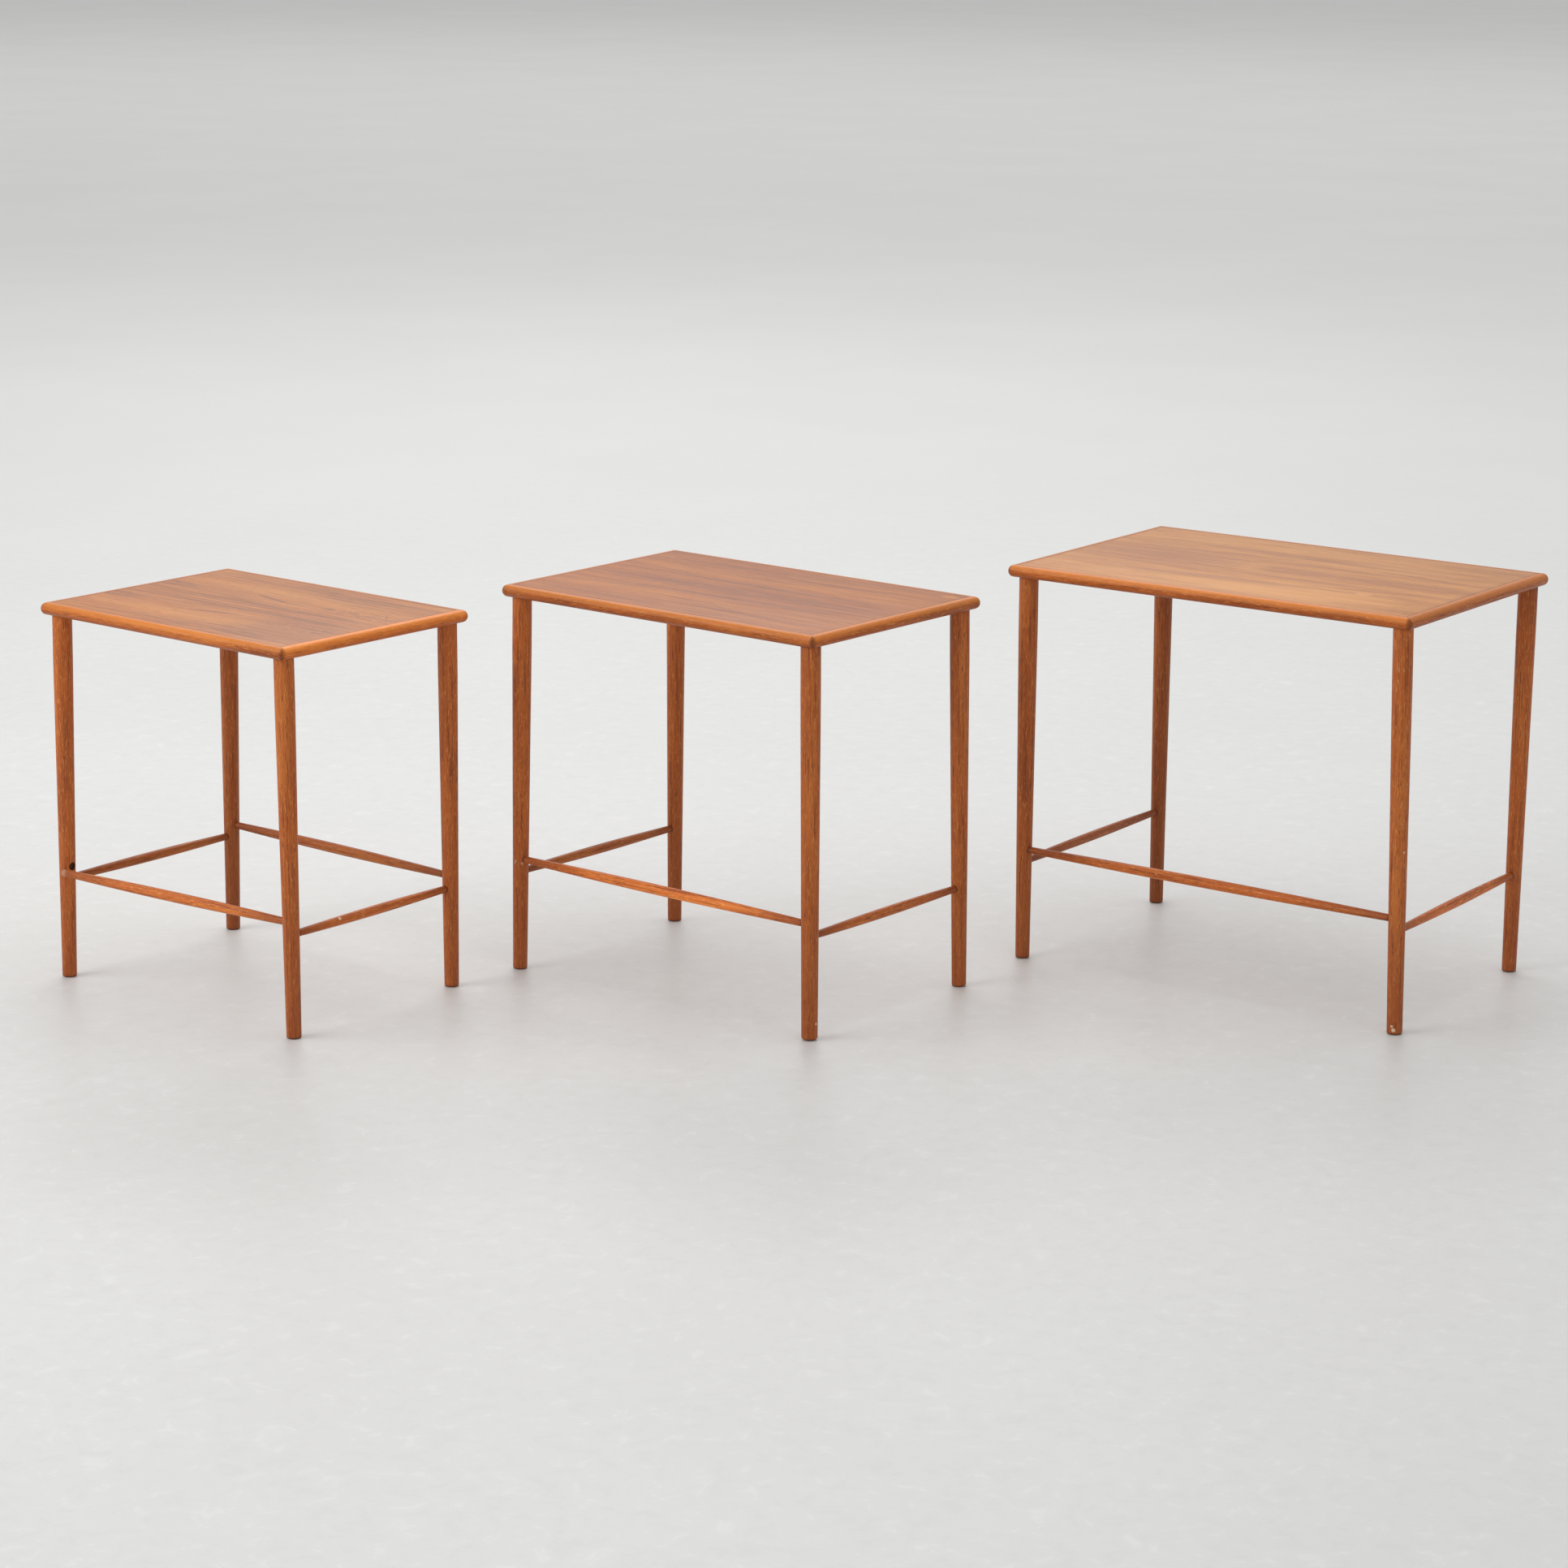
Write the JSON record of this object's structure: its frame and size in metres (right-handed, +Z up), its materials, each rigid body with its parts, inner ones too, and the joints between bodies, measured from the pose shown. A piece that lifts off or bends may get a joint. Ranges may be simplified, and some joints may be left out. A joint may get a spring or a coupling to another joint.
{
  "type": "nesting tables",
  "caption": "Nest of teak side tables standing apart in a row: veneered tops with half-round lippings, round tapered legs and turned stretchers, each size fitting under the next.",
  "frame": {"origin": "on the floor, below the middle of the box around all three tables as they stand in the row", "axes": "+X along the long side of the large table, from the small table towards the large one; +Y towards the large table's open back; +Z up"},
  "size_m": [1.466, 1.1822, 0.51],
  "materials": {
    "large_top_veneer": "satin teak veneer, light tan",
    "medium_top_veneer": "satin teak veneer, reddish brown",
    "small_top_veneer": "satin teak veneer, streaked brown",
    "under_veneer": "matt",
    "core_board": "raw board, hidden",
    "solid_teak": "satin oiled teak"
  },
  "bodies": {
    "large_table": {"large_top_core": "core_board", "large_top_veneer": "large_top_veneer", "large_under_veneer": "under_veneer", "large_front_lipping": "solid_teak", "large_back_lipping": "solid_teak", "large_left_lipping": "solid_teak", "large_right_lipping": "solid_teak", "large_front_left_leg": "solid_teak", "large_front_right_leg": "solid_teak", "large_back_right_leg": "solid_teak", "large_back_left_leg": "solid_teak", "large_front_stretcher": "solid_teak", "large_left_stretcher": "solid_teak", "large_right_stretcher": "solid_teak"},
    "medium_table": {"medium_top_core": "core_board", "medium_top_veneer": "medium_top_veneer", "medium_under_veneer": "under_veneer", "medium_front_lipping": "solid_teak", "medium_back_lipping": "solid_teak", "medium_left_lipping": "solid_teak", "medium_right_lipping": "solid_teak", "medium_front_left_leg": "solid_teak", "medium_front_right_leg": "solid_teak", "medium_back_right_leg": "solid_teak", "medium_back_left_leg": "solid_teak", "medium_front_stretcher": "solid_teak", "medium_left_stretcher": "solid_teak", "medium_right_stretcher": "solid_teak"},
    "small_table": {"small_top_core": "core_board", "small_top_veneer": "small_top_veneer", "small_under_veneer": "under_veneer", "small_front_lipping": "solid_teak", "small_back_lipping": "solid_teak", "small_left_lipping": "solid_teak", "small_right_lipping": "solid_teak", "small_front_left_leg": "solid_teak", "small_front_right_leg": "solid_teak", "small_back_right_leg": "solid_teak", "small_back_left_leg": "solid_teak", "small_front_stretcher": "solid_teak", "small_back_stretcher": "solid_teak", "small_left_stretcher": "solid_teak", "small_right_stretcher": "solid_teak"}
  },
  "joints": [
    {"name": "medium_slide", "type": "slide", "parent": "large_table", "child": "medium_table", "axis": [1, 0, 0], "range_m": [-0.35, 0.497]},
    {"name": "small_slide", "type": "slide", "parent": "large_table", "child": "small_table", "axis": [1, 0, 0], "range_m": [-0.3, 0.462]}
  ]
}
